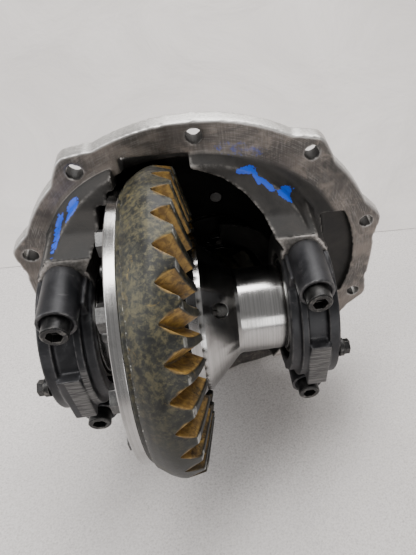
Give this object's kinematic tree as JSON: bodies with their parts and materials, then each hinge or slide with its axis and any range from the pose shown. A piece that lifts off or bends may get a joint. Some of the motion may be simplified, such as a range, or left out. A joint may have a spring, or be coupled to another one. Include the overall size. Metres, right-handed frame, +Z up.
{
  "type": "differential gear assembly",
  "caption": "Axle centre section: a round-flanged cast carrier with capped side bearings holds a ring gear, a polished case with bevel gears and a hypoid pinion.",
  "frame": {"origin": "centre of the flange's machined face, on the axis of its stud circle", "axes": "+X along the axle, to the right as seen from the ring gear side; +Y along the pinion towards the drive shaft yoke; +Z up"},
  "size_m": [0.2788, 0.3603, 0.2847],
  "materials": {
    "cast_iron": "as cast, machined faces",
    "cap_iron": "smooth dark casting",
    "support_iron": "as cast",
    "gear_phosphate": "phosphate coated, marking compound on the teeth",
    "black_oxide": "black oxide",
    "cage_steel": "pressed steel",
    "rubber": "moulded",
    "yoke_steel": "forged and turned",
    "polished_steel": "turned and polished",
    "bearing_steel": "ground"
  },
  "bodies": {
    "carrier": {"carrier_housing": "cast_iron", "bearing_cap_left": "cap_iron", "bearing_cap_right": "cap_iron", "cap_screws": "black_oxide", "adjuster_left": "bearing_steel", "adjuster_right": "bearing_steel", "adjuster_lock_left": "bearing_steel", "adjuster_lock_right": "bearing_steel", "lock_screws": "black_oxide", "side_cup_left": "bearing_steel", "side_cup_right": "bearing_steel", "pinion_cup_inner": "bearing_steel", "pinion_cup_outer": "bearing_steel", "pilot_bearing_cup": "bearing_steel", "pilot_retainer": "bearing_steel", "pinion_support": "support_iron", "support_bolts": "black_oxide", "support_shim": "bearing_steel", "support_oring": "rubber", "pinion_seal": "rubber"},
    "case": {"diff_case": "polished_steel", "case_cover": "polished_steel", "cover_screws": "black_oxide", "ring_gear": "gear_phosphate", "ring_gear_bolts": "black_oxide", "cross_shaft": "bearing_steel", "cross_shaft_pin": "bearing_steel", "side_cone_left": "bearing_steel", "side_cone_right": "bearing_steel", "side_washer_left": "bearing_steel", "side_washer_right": "bearing_steel", "spider_washer_top": "bearing_steel", "spider_washer_bottom": "bearing_steel"},
    "pinion": {"pinion_gear": "gear_phosphate", "pinion_cone_inner": "bearing_steel", "pinion_cone_outer": "bearing_steel", "pinion_spacer": "bearing_steel", "yoke": "yoke_steel", "yoke_washer": "bearing_steel", "pinion_nut": "black_oxide"},
    "side_gear_left": {"side_gear_left": "bearing_steel"},
    "side_gear_right": {"side_gear_right": "bearing_steel"},
    "spider_top": {"spider_gear_top": "bearing_steel"},
    "spider_bottom": {"spider_gear_bottom": "bearing_steel"},
    "side_rolling_left": {"side_cage_left": "cage_steel", "side_rollers_left": "bearing_steel"},
    "side_rolling_right": {"side_cage_right": "cage_steel", "side_rollers_right": "bearing_steel"},
    "pinion_rolling_inner": {"pinion_cage_inner": "cage_steel", "pinion_rollers_inner": "bearing_steel"},
    "pinion_rolling_outer": {"pinion_cage_outer": "cage_steel", "pinion_rollers_outer": "bearing_steel"},
    "pilot_rolling": {"pilot_rollers": "bearing_steel"}
  },
  "joints": [
    {"name": "case_spin", "type": "hinge", "parent": "carrier", "child": "case", "pos_m": [0, -0.041, 0], "axis": [1, 0, 0], "continuous": true},
    {"name": "pinion_spin", "type": "hinge", "parent": "carrier", "child": "pinion", "pos_m": [0.0125, 0, -0.0603], "axis": [0, 1, 0], "continuous": true},
    {"name": "diff_spin", "type": "hinge", "parent": "case", "child": "side_gear_left", "pos_m": [-0.023, -0.041, 0], "axis": [1, 0, 0], "continuous": true},
    {"name": "side_gear_right_spin", "type": "hinge", "parent": "case", "child": "side_gear_right", "pos_m": [-0.023, -0.041, 0], "axis": [1, 0, 0], "continuous": true},
    {"name": "spider_top_spin", "type": "hinge", "parent": "case", "child": "spider_top", "pos_m": [-0.023, -0.041, 0], "axis": [0, 0, 1], "continuous": true},
    {"name": "spider_bottom_spin", "type": "hinge", "parent": "case", "child": "spider_bottom", "pos_m": [-0.023, -0.041, 0], "axis": [0, 0, 1], "continuous": true},
    {"name": "side_rolling_left_spin", "type": "hinge", "parent": "carrier", "child": "side_rolling_left", "pos_m": [0, -0.041, 0], "axis": [1, 0, 0], "continuous": true},
    {"name": "side_rolling_right_spin", "type": "hinge", "parent": "carrier", "child": "side_rolling_right", "pos_m": [0, -0.041, 0], "axis": [1, 0, 0], "continuous": true},
    {"name": "pinion_rolling_inner_spin", "type": "hinge", "parent": "carrier", "child": "pinion_rolling_inner", "pos_m": [0.0125, 0, -0.0603], "axis": [0, 1, 0], "continuous": true},
    {"name": "pinion_rolling_outer_spin", "type": "hinge", "parent": "carrier", "child": "pinion_rolling_outer", "pos_m": [0.0125, 0, -0.0603], "axis": [0, 1, 0], "continuous": true},
    {"name": "pilot_rolling_spin", "type": "hinge", "parent": "carrier", "child": "pilot_rolling", "pos_m": [0.0125, 0, -0.0603], "axis": [0, 1, 0], "continuous": true}
  ],
  "couplings": [
    {"joint": "pinion_spin", "follows": "case_spin", "ratio": 4.5714},
    {"joint": "side_gear_right_spin", "follows": "diff_spin", "ratio": -1},
    {"joint": "spider_top_spin", "follows": "diff_spin", "ratio": 1.5},
    {"joint": "spider_bottom_spin", "follows": "diff_spin", "ratio": -1.5},
    {"joint": "side_rolling_left_spin", "follows": "case_spin", "ratio": 0.43},
    {"joint": "side_rolling_right_spin", "follows": "case_spin", "ratio": 0.43},
    {"joint": "pinion_rolling_inner_spin", "follows": "case_spin", "ratio": 1.92},
    {"joint": "pinion_rolling_outer_spin", "follows": "case_spin", "ratio": 1.92},
    {"joint": "pilot_rolling_spin", "follows": "case_spin", "ratio": 1.8743}
  ]
}
